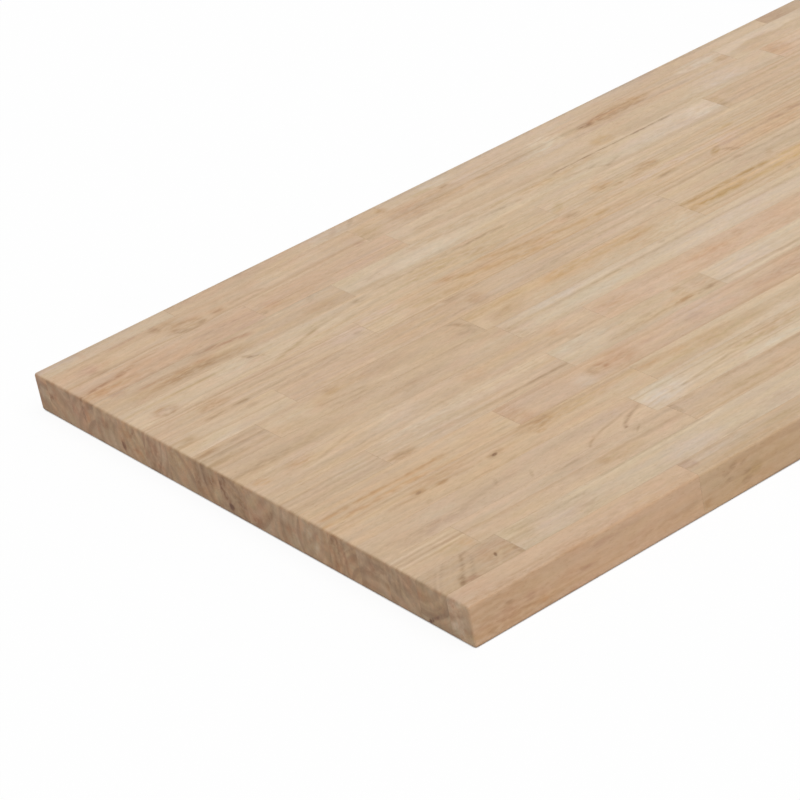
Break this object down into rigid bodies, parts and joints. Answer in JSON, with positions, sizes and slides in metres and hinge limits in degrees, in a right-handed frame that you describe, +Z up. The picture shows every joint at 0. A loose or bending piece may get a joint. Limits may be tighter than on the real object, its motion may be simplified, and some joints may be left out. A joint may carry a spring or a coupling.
{
  "type": "butcher block countertop",
  "caption": "Flat rectangular worktop slab of square-edged hardwood staves, glued edge to edge and butted end to end in staggered rows, with eased arrises.",
  "frame": {"origin": "centre of the underside", "axes": "+X along the grain and the length, +Y across the rows, +Z up through the thickness"},
  "size_m": [1.2192, 0.635, 0.0381],
  "materials": {
    "pale_wood": "sanded, unfinished",
    "cream_wood": "sanded, unfinished",
    "tan_wood": "sanded, unfinished",
    "rosy_wood": "sanded, unfinished",
    "golden_wood": "sanded, unfinished",
    "brown_wood": "sanded, unfinished"
  },
  "bodies": {
    "root": {"row_01_stave_1": "rosy_wood", "row_01_stave_2": "brown_wood", "row_01_stave_3": "cream_wood", "row_02_stave_1": "brown_wood", "row_02_stave_2": "pale_wood", "row_02_stave_3": "tan_wood", "row_03_stave_1": "brown_wood", "row_03_stave_2": "tan_wood", "row_03_stave_3": "tan_wood", "row_03_stave_4": "golden_wood", "row_04_stave_1": "tan_wood", "row_04_stave_2": "pale_wood", "row_04_stave_3": "rosy_wood", "row_05_stave_1": "golden_wood", "row_05_stave_2": "cream_wood", "row_05_stave_3": "tan_wood", "row_06_stave_1": "golden_wood", "row_06_stave_2": "rosy_wood", "row_06_stave_3": "cream_wood", "row_07_stave_1": "brown_wood", "row_07_stave_2": "tan_wood", "row_07_stave_3": "cream_wood", "row_07_stave_4": "pale_wood", "row_07_stave_5": "golden_wood", "row_08_stave_1": "tan_wood", "row_08_stave_2": "rosy_wood", "row_08_stave_3": "pale_wood", "row_09_stave_1": "brown_wood", "row_09_stave_2": "pale_wood", "row_09_stave_3": "tan_wood", "row_10_stave_1": "brown_wood", "row_10_stave_2": "brown_wood", "row_10_stave_3": "golden_wood", "row_10_stave_4": "golden_wood", "row_11_stave_1": "cream_wood", "row_11_stave_2": "tan_wood", "row_11_stave_3": "cream_wood", "row_11_stave_4": "brown_wood", "row_12_stave_1": "tan_wood", "row_12_stave_2": "golden_wood", "row_12_stave_3": "rosy_wood", "row_13_stave_1": "cream_wood", "row_13_stave_2": "cream_wood", "row_13_stave_3": "tan_wood", "row_14_stave_1": "brown_wood", "row_14_stave_2": "pale_wood", "row_14_stave_3": "tan_wood", "row_15_stave_1": "rosy_wood", "row_15_stave_2": "rosy_wood", "row_15_stave_3": "cream_wood", "row_15_stave_4": "rosy_wood", "row_16_stave_1": "tan_wood", "row_16_stave_2": "tan_wood", "row_16_stave_3": "pale_wood", "row_17_stave_1": "cream_wood", "row_17_stave_2": "tan_wood", "row_17_stave_3": "cream_wood", "row_17_stave_4": "brown_wood"}
  },
  "joints": []
}
